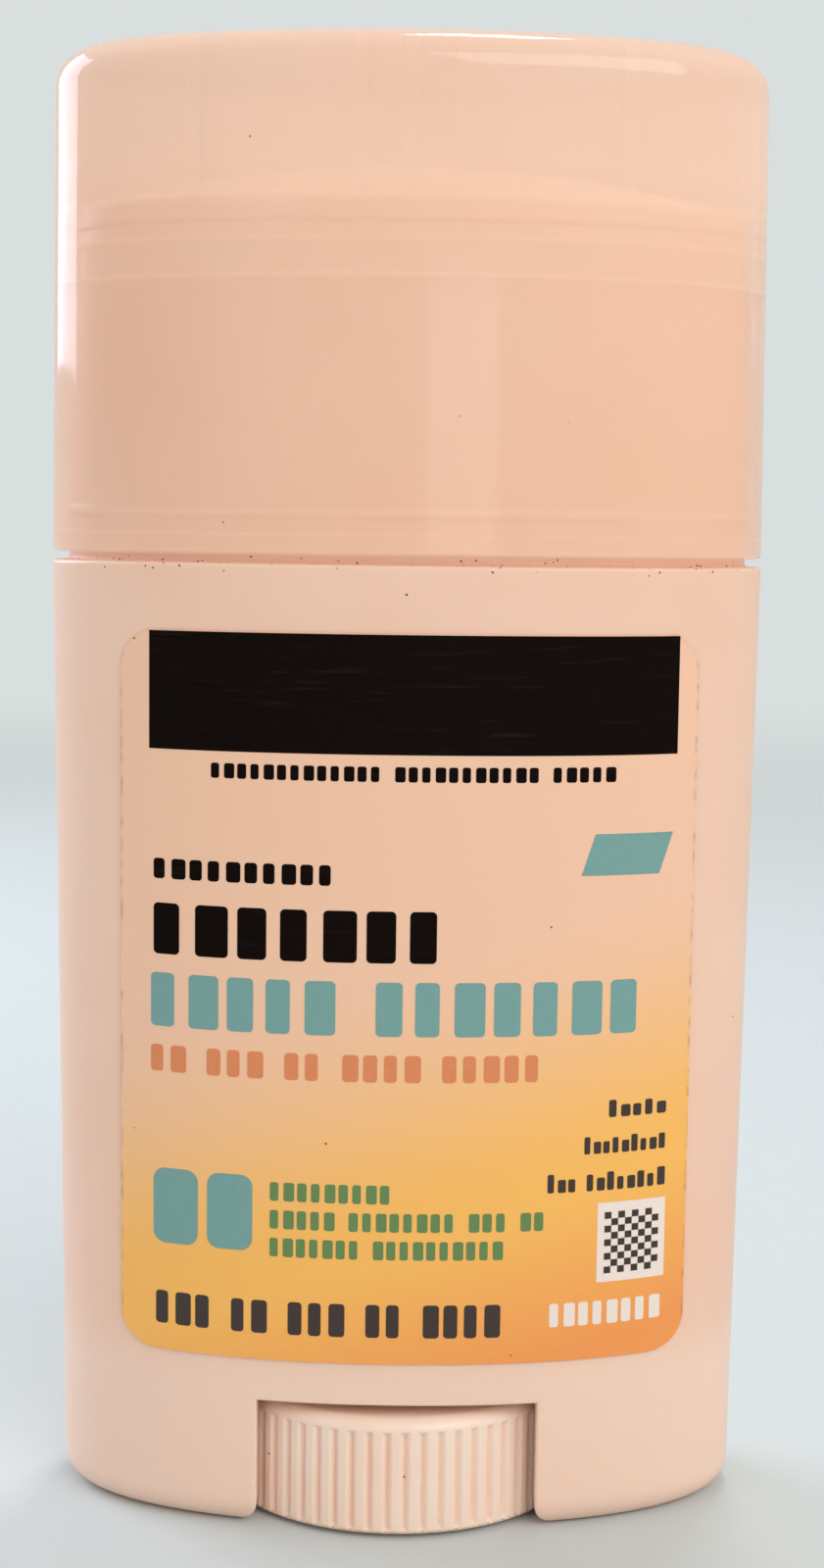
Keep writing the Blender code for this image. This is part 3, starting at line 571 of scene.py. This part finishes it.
def makeBarrel():
    s = barrelSizes
    foot, shoulder, ease, root = oval["footRadius"], heights["shoulder"], s["shoulderRound"], s["neckRoot"]
    lower = roundOver(barrelHalf(foot), foot, foot, -90, 0, 10)
    lower += [(barrelHalf(z), z) for z in s["wallLevels"]]
    lower += roundOver(barrelHalf(shoulder - ease), shoulder - ease, ease, 0, 90, 5)
    for turn in (math.radians(a) for a in (0, 30, 60, 90)):  # fillet where the neck starts
        half = neckHalf(shoulder) + root * (1 - math.sin(turn))
        lower.append((half, shoulder + root * (1 - math.cos(turn))))
    land, step, slope = heights["land"], s["landStep"], s["landSlope"]
    upper = [(neckHalf(z), z) for z in s["neckLevels"]]
    upper += [(neckHalf(land - slope), land - slope), (neckHalf(land) - step, land + slope)]
    for middle, profile in ((heights["ridge"], s["ridge"]), (heights["leadIn"], s["groove"])):
        upper += [(neckHalf(middle + up) - step + out, middle + up) for up, out in profile]
    rim, chamber = neckHalf(rimHeight) - step - s["taper"], s["chamberHalf"]
    upper += [(rim + out, rimHeight + up) for out, up in s["rimOutside"]]
    upper += [(chamber + out, rimHeight + up) for out, up in s["rimInside"]]
    upper += [(chamber, z) for z in (*s["chamberLevels"], s["floorTop"])]
    rings = [ovalRing(h, z) for h, z in lower]
    rings += beadRings(neckHalf, s["beadSwell"])
    rings += [ovalRing(h, z) for h, z in upper]
    barrel = loft("barrelShell", rings)

    base, top = s["floorBase"], s["floorTop"]
    half, wall = chamber - s["pocketStep"], s["wellRadius"] + s["wellWall"]
    pocket = loft("pocketCutter", [ovalRing(half, z) for z in (s["footFloor"], top + past)])
    carve(pocket, loft("wellWall", [disc(wall, z) for z in (0.0, top + 2 * past)]))
    carve(barrel, pocket)
    carve(barrel, windowCutter())
    carve(barrel, loft("wellCutter", [disc(s["wellRadius"], z, s["wellSides"]) for z in (-past, base)]))
    carve(barrel, loft("boreCutter", [disc(s["boreRadius"], z) for z in (base - past, top + past)]))
    shade(barrel, 34)
    place(barrel, "container", whitePolypropylene, ["barrel"])
    print("barrel: shell, neck, windows and feet")


makeBarrel()

capSizes = {
    "height": 38.3, "wall": 0.95, "roof": 1.1, "radius": 2.8, "crown": 1.2, "lipRound": 0.3,
    "levels": (76, 82, 90, 98, 103),
    "leadIn": 1.4, "leadDepth": 0.2, "leadSlope": 0.2,  # wider mouth, and its step
    "groove": 0.18,
    "ribThickness": 0.8, "ribReach": 2.2, "ribGap": 0.3,  # gap between rim and ribs
}


def hollowHalf(z):
    return capHalf(z) - capSizes["wall"]


def makeCap():
    s = capSizes
    top = capBase + s["height"]
    centre = top - s["crown"] - s["radius"]
    lip = s["lipRound"]
    outline = roundOver(capHalf(capBase + lip), capBase + lip, lip, -90, 0, 4)
    outline += [(capHalf(z), z) for z in s["levels"]]
    outline += roundOver(capHalf(centre), centre, s["radius"], 0, 90, 14)
    rings = [ovalRing(h, z) for h, z in outline]
    rings += crownRings(capHalf(centre) - s["radius"], centre + s["radius"], s["crown"])
    cap = loft("capShell", rings)

    inner = s["radius"] - s["wall"]
    roof = centre + inner + s["wall"] - s["roof"]
    leadTop = capBase + s["leadIn"]
    mouth = hollowHalf(capBase) + s["leadDepth"]
    hollow = [ovalRing(mouth, capBase - past), ovalRing(mouth, leadTop - s["leadSlope"])]
    hollow.append(ovalRing(hollowHalf(leadTop), leadTop))
    hollow += beadRings(hollowHalf, s["groove"])
    hollow += [ovalRing(hollowHalf(z), z) for z in s["levels"][1:]]
    hollow += [ovalRing(h, z) for h, z in roundOver(hollowHalf(centre), centre, inner, 0, 90, 10)[:-1]]
    hollow.append(ovalRing(hollowHalf(centre) - inner, roof))
    hollow += crownRings(hollowHalf(centre) - inner, roof, s["crown"])
    void = loft("capHollow", hollow)
    ribBase, half = rimHeight + s["ribGap"], s["ribThickness"] / 2
    reach = capHalf(ribBase) - s["ribReach"]
    # the stop ribs are left standing in the hollow
    for x in sorted({side * ribPlace for side in (-1, 1) for ribPlace in capLook["ribPlaces"]}):
        for side in (-1, 1):
            near, far = sorted((side * ovalDepth(reach, x), side * outside))
            carve(void, box("rib", (x - half, near, ribBase), (x + half, far, top)))
    for item in (cap, void):
        item.data.materials.append(translucentPolypropylene)
        item.data.materials.append(insidePolypropylene)
    for face in void.data.polygons:
        face.material_index = 1
    carve(cap, void)
    inside = sum(face.material_index for face in cap.data.polygons)
    shade(cap, 34)
    place(cap, "cap", stands=["cap"])
    print("cap: shell with its stop ribs,", inside, "faces inside")


makeCap()

wheelSizes = {
    "ribs": 64, "points": 12,             # points round each rib
    "grooveDepth": 0.42, "grooveWidth": 0.66,
    "endSlope": 0.42,                     # height of the sloped end of each groove
    "smoothRim": 0.12,                    # plain band under the grooves
    "sink": 0.3,                          # how far the top lies under the CAD's, as the photograph has it
    "bevel": (1.1, 0.9),                  # in from the rim, and down from the top
    "underRound": 0.21,
    "wallLevels": (3, 6), "slopeLead": 0.4,  # the last ring of the wall is this far under the upper slope
    "rimWall": 1.7, "web": 1.4, "hubRadius": 5.36, "socketHalf": 2.8,
    "spokes": 6, "spokeWidth": 1.0, "spokeBase": 1.1,
}


def makeWheel():
    s = wheelSizes
    low, radius = edge("thumbwheel", 2, False), edge("thumbwheel", 1)
    top = edge("thumbwheel", 2) - s["sink"]
    count = s["ribs"] * s["points"]
    pitch = math.tau * radius / s["ribs"]
    inward, down = s["bevel"]
    ribTop = top - down
    slope, ease = s["endSlope"], s["underRound"]

    def wheelRing(reach, z):
        inGroove = min(ribTop - z, z - low - s["smoothRim"])  # from the nearer end of the grooves
        allowed = s["grooveDepth"] * min(max(inGroove / slope, 0.0), 1.0)
        points = []
        for i in range(count):
            off = abs((i % s["points"]) / s["points"] - 0.5) * pitch
            share = max(1 - off / (s["grooveWidth"] / 2), 0.0)
            # half a V and half a wave, so its edges and its bottom are a little soft
            depth = s["grooveDepth"] * (0.5 * share + 0.5 * math.sin(share * math.pi / 2) ** 2)
            turn = math.tau * i / count
            far = reach - min(depth, allowed)
            points.append((far * math.cos(turn), far * math.sin(turn), z))
        return points

    levels = roundOver(radius, low + ease, ease, -90, 0, 4)
    levels += [(radius, low + s["smoothRim"] + slope * k / 3) for k in range(4)]
    levels += [(radius, z) for z in (*s["wallLevels"], ribTop - slope - s["slopeLead"])]
    levels += [(radius, ribTop - slope * k / 6) for k in range(6, 0, -1)]
    for i in range(11):  # bevel up to the top
        turn = math.radians(9 * i)
        levels.append((radius - inward * (1 - math.cos(turn)), ribTop + down * math.sin(turn)))
    wheel = loft("ribbedWheel", [wheelRing(reach, z) for reach, z in levels])

    under, webBase = low - past, top - s["web"]
    pocket = loft("rimPocket", [disc(radius - s["rimWall"], z) for z in (under, webBase)])
    carve(pocket, loft("hub", [disc(s["hubRadius"], z) for z in (under - past, webBase + past)]))
    half = s["spokeWidth"] / 2
    for i in range(s["spokes"]):
        spoke = box("spoke", (0, -half, low + s["spokeBase"]), (outside, half, top))
        spoke.data.transform(Matrix.Rotation(math.tau * i / s["spokes"], 4, "Z"))
        carve(pocket, spoke)
    carve(wheel, pocket)
    half = s["socketHalf"]
    carve(wheel, box("socket", (-half, -half, under), (half, half, top + past)))
    shade(wheel, 50)
    place(wheel, "screw", wheelPolypropylene, ["thumbwheel"])
    print("thumbwheel:", s["ribs"], "ribs")


makeWheel()

stickSizes = {
    "levels": (60, 72, 84, 92), "sides": 192,
    "edge": 98.6, "radius": 1.4, "edgeTurn": 75,  # degrees, up to where the dome starts
    "crown": 2.9,
    "boreRadius": 4.3, "boreTop": 95.6, "boreSides": 48,
    "postShares": (-0.70, -0.38, 0.38, 0.70),  # places across, of the half width
    "postRadius": 2.0, "postTop": 57.9, "postSides": 24,
}


def makeStick():
    s = stickSizes
    half, base = edge("sunscreen_stick", 0), edge("sunscreen_stick", 2, False)
    outline = [(half, z) for z in (base, *s["levels"])]
    outline += roundOver(half, s["edge"] - s["radius"], s["radius"], 0, s["edgeTurn"], 8)
    rings = [ovalRing(h, z, sides=s["sides"]) for h, z in outline]
    rings += crownRings(*outline[-1], s["crown"], s["sides"])
    stick = loft("domedStick", rings)
    under, radius, sides = base - past, s["postRadius"], s["postSides"]
    carve(stick, loft("bore", [disc(s["boreRadius"], z, s["boreSides"]) for z in (under, s["boreTop"])]))
    for share in s["postShares"]:
        ends = [disc(radius, z, sides, share * half) for z in (under, s["postTop"])]
        carve(stick, loft("postRecess", ends))
    shade(stick, 34)
    place(stick, "carrier", castMineralWax(waxLook), ["sunscreen_stick"])
    print("stick: dome, bore and post recesses")


makeStick()

for node, material in (("elevator", naturalPolyethylene), ("screw_spindle", naturalPolypropylene)):
    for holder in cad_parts[node].material_slots:
        holder.material = material
print("elevator and spindle: materials")

labelSizes = {
    "low": 13.2, "high": 67.0, "left": -20.85, "right": 21.55, "corner": 2.7,
    "film": (0.06, 0.16), "ink": (0.13, 0.18), "code": (0.17, 0.20),  # under and upper side over the barrel
    "rows": 8, "inkRows": 2, "step": 0.7,
}


def patchColumns(left, right, low, high, corner):  # (place across, low end, high end)
    turns = range(0, 91, 15 if corner < 1 else 9) if corner else (0,)  # small corners take fewer columns
    edges = [corner * (1 - math.cos(math.radians(a))) for a in turns]
    count = max(1, math.ceil((right - left - 2 * corner) / labelSizes["step"]))
    inside = [left + corner + (right - left - 2 * corner) * i / count for i in range(1, count)]
    places = [left + e for e in edges] + inside + [right - e for e in reversed(edges)]
    columns = []
    for u in places:
        near = min(u - left, right - u)
        cut = corner - math.sqrt(max(corner ** 2 - (corner - near) ** 2, 0.0)) if near < corner else 0.0
        columns.append((u, low + cut, high - cut))
    return columns


def addPatch(form, columns, lifts, side, rows=1, slant=0.0):  # thin closed sheet that follows the barrel
    sheets = []
    for lift in lifts:
        grid = []
        for u, low, high in columns:
            line = []
            for r in range(rows + 1):
                z = low + (high - low) * r / rows
                x = -side * (u + slant * (r / rows - 0.5))
                line.append(form.verts.new(Vector((x, side * bodyFront(x, z, lift), z)) * mm))
            grid.append(line)
        sheets.append(grid)
        for one, two in zip(grid, grid[1:]):
            for r in range(rows):
                form.faces.new((one[r], two[r], two[r + 1], one[r + 1]))
    last = len(columns) - 1
    border = [(i, 0) for i in range(last + 1)] + [(last, r) for r in range(1, rows + 1)]  # column and row
    border += [(i, rows) for i in range(last - 1, -1, -1)] + [(0, r) for r in range(rows - 1, 0, -1)]
    for (a, b), (c, d) in zip(border, border[1:] + border[:1]):
        form.faces.new((sheets[0][a][b], sheets[0][c][d], sheets[1][c][d], sheets[1][a][b]))


# shares of the room that a letter has, but for cornerMost, which is in mm; gap is the one between words
cellShares = {"widths": (0.62, 0.78, 0.68), "gap": 0.8, "corner": 0.18, "cornerMost": 0.35}


def wordCells(left, right, low, high, words, tall=(1.0,)):  # a small cell for each stand-in letter
    s = cellShares
    unit = (right - left) / (sum(words) + s["gap"] * (len(words) - 1))
    cells, u, number = [], left, 0
    for word in words:
        for i in range(word):
            width = unit * s["widths"][number % len(s["widths"])]
            top = low + (high - low) * tall[number % len(tall)]
            cells.append((u, u + width, low, top, min(unit * s["corner"], s["cornerMost"])))
            u += unit
            number += 1
        u += s["gap"] * unit
    return cells


def smallPrint(right, ragged, top, count, words):  # stand-in lines, each kind shorter by ragged
    left, step, tall = -18.3, 1.65, 0.8
    lines = []
    for i in range(count):
        kind, low = i % len(words), top - step * i
        lines.append((left, right - ragged * kind, low, low + tall, words[kind]))
    return lines


# A block is left, right, low, high and corner radius. A line is left, right, low, high, the lengths of
# its words and, for small letters, how tall each is. The flag is left, right, low, high and slant.
smallLetters = (1.0, 0.7, 0.7, 0.9, 0.7)
frontPrint = {
    "black": {
        "blocks": [(-18.65, 20.0, 58.35, 66.96, 0.0)],
        "lines": [(-14.0, 15.6, 56.4, 57.5, (13, 11, 5)), (-18.3, -4.7, 48.8, 50.3, (10,)),
                  (-18.3, 3.7, 43.2, 47.0, (7,))]},
    "teal": {
        "blocks": [(-18.3, -14.9, 21.4, 27.1, 0.9), (-14.2, -10.8, 21.4, 27.1, 0.9)],
        "lines": [(-18.5, 18.2, 37.8, 41.8, (5, 7))],
        "flag": (13.46, 19.3, 49.56, 52.6, 1.0)},
    "orange": {
        "lines": [(-18.5, 10.6, 34.4, 36.4, (2, 3, 2, 4, 5))]},
    "dark": {
        "lines": [(15.4, 20.0, 31.5, 32.8, (5,), smallLetters),
                  (13.6, 20.0, 28.8, 30.1, (9,), smallLetters),
                  (10.9, 20.0, 26.0, 27.4, (3, 8), smallLetters),
                  (-18.1, 7.9, 15.2, 17.7, (3, 2, 3, 2, 4))]},
    "green": {
        "lines": [(-9.5, -0.4, 25.3, 26.7, (9,)), (-9.5, 10.95, 23.2, 24.6, (5, 8, 3, 2)),
                  (-9.5, 7.9, 21.1, 22.5, (7, 10))]},
    "white": {
        "blocks": [(14.7, 19.9, 19.0, 25.05, 0.0)],
        "lines": [(11.2, 19.9, 15.8, 17.6, (8,))]},
}
backPrint = {
    "black": {
        "blocks": [(-18.65, 20.0, 62.2, 66.96, 0.0)],
        "lines": [(-18.3, 4.0, 58.9, 60.6, (4, 7, 5)), (-18.3, 12.0, 33.4, 34.6, (5, 9, 4))]},
    "dark": {
        "blocks": [(-18.6, 19.9, 57.6, 57.75, 0.0), (-18.6, 19.9, 35.6, 35.75, 0.0)],
        "lines": [
            *smallPrint(19.4, 3.1, 56.0, 12, ((6, 9, 4, 11, 7, 5), (8, 3, 12, 6, 9, 4),
                                              (5, 10, 7, 4, 8, 6))),
            *smallPrint(3.5, 2.0, 31.4, 9, ((7, 4, 9, 3), (5, 8, 6)))]},
    "white": {
        "blocks": [(6.6, 19.9, 17.6, 31.6, 0.0)]},
}


def makeLabel(name, side, artwork):
    s = labelSizes
    slot = name + "_label"
    form = bmesh.new()
    columns = patchColumns(s["left"], s["right"], s["low"], s["high"], s["corner"])
    addPatch(form, columns, s["film"], side, s["rows"])
    film = finish(name + "Film", form)
    shade(film, 40, False)
    material = printedFilm("polypropylene film, printed, " + name, side, filmLook, s)
    place(film, "container", material, [slot])
    for ink, marks in artwork.items():
        form = bmesh.new()
        for block in marks.get("blocks", ()):
            addPatch(form, patchColumns(*block), s["ink"], side, s["inkRows"])
        if "flag" in marks:
            *extent, slant = marks["flag"]
            addPatch(form, patchColumns(*extent, 0.0), s["ink"], side, s["inkRows"], slant)
        for line in marks.get("lines", ()):
            for cell in wordCells(*line):
                addPatch(form, patchColumns(*cell), s["ink"], side)
        item = finish(name + "Ink_" + ink, form)
        shade(item, 40, False)
        place(item, "container", inks[ink])


codeSizes = {
    "left": 15.25, "low": 19.65, "cell": 0.52, "dark": 0.51, "columns": 8, "rows": 9,
    "bars": 22, "barLeft": 8.2, "barStep": 0.48, "barWidth": 0.26, "barLow": 19.4, "barHigh": 29.8,
}


def makeCodes():  # a plain chequer on the front's white square, and plain bars on the back's
    s, lifts = codeSizes, labelSizes["code"]
    form = bmesh.new()
    for i in range(s["columns"]):
        for j in range(s["rows"]):
            if (i + j) % 2 == 0:
                u, z = s["left"] + i * s["cell"], s["low"] + j * s["cell"]
                addPatch(form, [(u, z, z + s["dark"]), (u + s["dark"], z, z + s["dark"])], lifts, -1)
    place(finish("frontChequer", form), "container", inks["dark"])
    form = bmesh.new()
    for i in range(s["bars"]):
        u = s["barLeft"] + i * s["barStep"]
        addPatch(form, [(v, s["barLow"], s["barHigh"]) for v in (u, u + s["barWidth"])], lifts, 1)
    place(finish("backBars", form), "container", inks["dark"])


inks = {name: flexoInk(name, look, inkWear) for name, look in inkLooks.items()}
makeLabel("front", -1, frontPrint)
makeLabel("back", 1, backPrint)
makeCodes()
print("labels: film and", len(inks), "inks")

stageLook = {  # in metres
    "radius": 4.0, "floor": "#D3DAD9", "floorDeep": "#CFD6D5", "grain": 0.003,
    "fade": (0.22, 0.9),                  # from the middle, where the floor runs into the backdrop
    "seen": "#D9DFDE",                    # the backdrop as it is looked at
    "light": "#FFFFFF", "strength": 0.61,
}


def seenRay(tree):  # 1 where the backdrop is looked at, mirrored or seen through something, otherwise 0
    ray = addNode(tree, "LightPath")
    seen = addNode(tree, "Math", {"operation": "MAXIMUM"},
                   {0: ray.outputs["Is Camera Ray"], 1: ray.outputs["Is Glossy Ray"]})
    seen = addNode(tree, "Math", {"operation": "MAXIMUM"},
                   {0: seen.outputs[0], 1: ray.outputs["Is Transmission Ray"]})
    return seen.outputs[0]


def makeFloor(look):  # painted board: matt, with a faint unevenness
    form = bmesh.new()
    bmesh.ops.create_circle(form, cap_ends=True, segments=96, radius=look["radius"])
    floor = finish("floor", form)
    material, tree, shader = newMaterial("painted board, matt",
                                         {"Roughness": 0.75, "Specular IOR Level": 0.2})
    where = addNode(tree, "TexCoord").outputs["Object"]
    grain = addNode(tree, "TexNoise", {"Scale": 1 / look["grain"], "Detail": 3.0}, {"Vector": where})
    far = addNode(tree, "VectorMath", {"operation": "LENGTH"}, {0: where})
    tint = addNode(tree, "Mix", {"data_type": "RGBA", 6: linear(look["floorDeep"]),
                                 7: linear(look["floor"])}, {0: grain.outputs["Fac"]})
    tree.links.new(tint.outputs[2], shader.inputs["Base Color"])
    # far off the floor runs into the backdrop, for the eye alone
    near, away = look["fade"]
    fade = addNode(tree, "MapRange", {"interpolation_type": "SMOOTHSTEP", "From Min": near,
                                      "From Max": away}, {"Value": far.outputs["Value"]})
    fade = addNode(tree, "Math", {"operation": "MULTIPLY"}, {0: fade.outputs[0], 1: seenRay(tree)})
    glow = addNode(tree, "Emission", {"Color": linear(look["seen"]), "Strength": 1.0})
    blend = addNode(tree, "MixShader", links={0: fade.outputs[0], 1: shader.outputs[0], 2: glow.outputs[0]})
    tree.links.new(blend.outputs[0], tree.nodes["Material Output"].inputs["Surface"])
    floor.data.materials.append(material)


def makeWorld(look):
    world = bpy.data.worlds.new("studio")
    bpy.context.scene.world = world
    world.use_nodes = True
    tree = world.node_tree
    tree.nodes.clear()
    light = addNode(tree, "Background", {"Color": linear(look["light"]), "Strength": look["strength"]})
    back = addNode(tree, "Background", {"Color": linear(look["seen"]), "Strength": 1.0})
    blend = addNode(tree, "MixShader", links={0: seenRay(tree), 1: light.outputs[0], 2: back.outputs[0]})
    out = addNode(tree, "OutputWorld")
    tree.links.new(blend.outputs[0], out.inputs["Surface"])


lamps = {  # place, point aimed at, width and height, watts, colour
    "key": ((0.42, -0.60, 0.52), (0.0, 0.0, 0.06), (0.80, 0.48), 3.3, "#FFFFFF"),
    "ceiling": ((0.07, 0.21, 0.76), (0.0, 0.0, 0.05), (0.13, 0.12), 1.15, "#FFFFFF"),
    "leftWindow": ((-0.441, 0.275, 0.30), (-0.026, -0.004, 0.30), (0.345, 0.36), 2.2, "#DCE6FF"),
    "strip": ((0.145, -1.0, 0.1134), (0.0, 0.0, 0.1134), (0.20, 0.187), 0.15, "#FFFFFF"),
}


def makeLights():
    for name, (spot, aim, size, watts, colour) in lamps.items():
        lamp = bpy.data.lights.new(name, "AREA")
        lamp.shape = "RECTANGLE"
        lamp.size, lamp.size_y = size
        lamp.energy = watts
        lamp.color = linear(colour)[:3]
        item = bpy.data.objects.new(name, lamp)
        item.location = spot
        item.rotation_euler = (Vector(aim) - Vector(spot)).to_track_quat("-Z", "Y").to_euler()
        item.visible_diffuse = name != "strip"  # the strip is there for its reflection alone
        bpy.context.scene.collection.objects.link(item)


cameraFit = {  # fitted to the outlines in the photograph
    "lens": 56.89, "sensor": 36.0,
    "place": (0.176, -190.34, 74.84),
    "forward": (0.00215856, 0.99453447, -0.10438648),
    "up": (-0.01235014, 0.10440527, 0.99445815),
    "clip": (0.01, 20.0),                 # metres
}


def makeCamera():
    data = bpy.data.cameras.new("camera")
    data.sensor_width = cameraFit["sensor"]
    data.sensor_fit = "AUTO"
    data.lens = cameraFit["lens"]
    data.clip_start, data.clip_end = cameraFit["clip"]
    camera = bpy.data.objects.new("camera", data)
    bpy.context.scene.collection.objects.link(camera)
    forward, up = Vector(cameraFit["forward"]), Vector(cameraFit["up"])
    right = forward.cross(up)
    turn = Matrix((right, up, -forward)).transposed().to_4x4()
    camera.matrix_world = Matrix.Translation(Vector(cameraFit["place"]) * mm) @ turn
    bpy.context.scene.camera = camera


makeFloor(stageLook)
makeWorld(stageLook)
makeLights()
makeCamera()
bpy.context.scene.view_settings.view_transform = "Standard"
print("stage, lights and camera")
